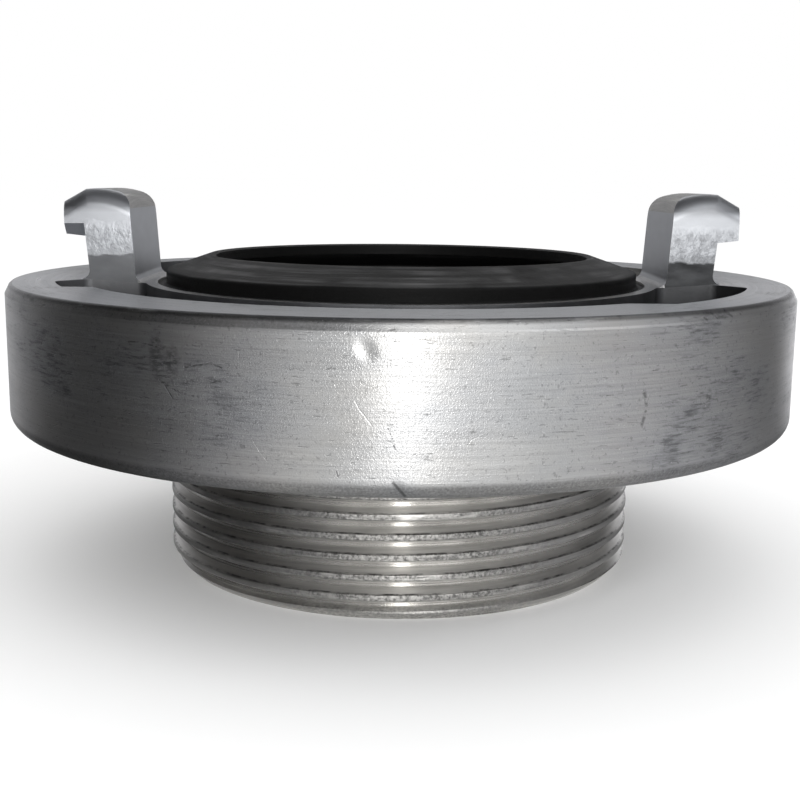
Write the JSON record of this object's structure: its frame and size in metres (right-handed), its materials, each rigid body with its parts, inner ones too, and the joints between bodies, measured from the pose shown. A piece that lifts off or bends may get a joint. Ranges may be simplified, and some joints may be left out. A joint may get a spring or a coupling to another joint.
{
  "type": "quarter turn fire hose coupling",
  "caption": "Fixed quarter turn fire hose coupling half with claw lugs, a claw ring, a rubber face seal and a male threaded spigot.",
  "frame": {"origin": "centre of the end of the threaded spigot, on the plane that the coupling stands on", "axes": "+Z along the waterway, from the spigot towards the lugs; the two lugs stand on +X and -X"},
  "size_m": [0.098, 0.098, 0.047],
  "materials": {
    "turned_aluminium": "turned, with as-forged lugs",
    "seal_rubber": "satin"
  },
  "bodies": {
    "root": {"coupling_body": "turned_aluminium", "face_seal": "seal_rubber"}
  },
  "joints": []
}
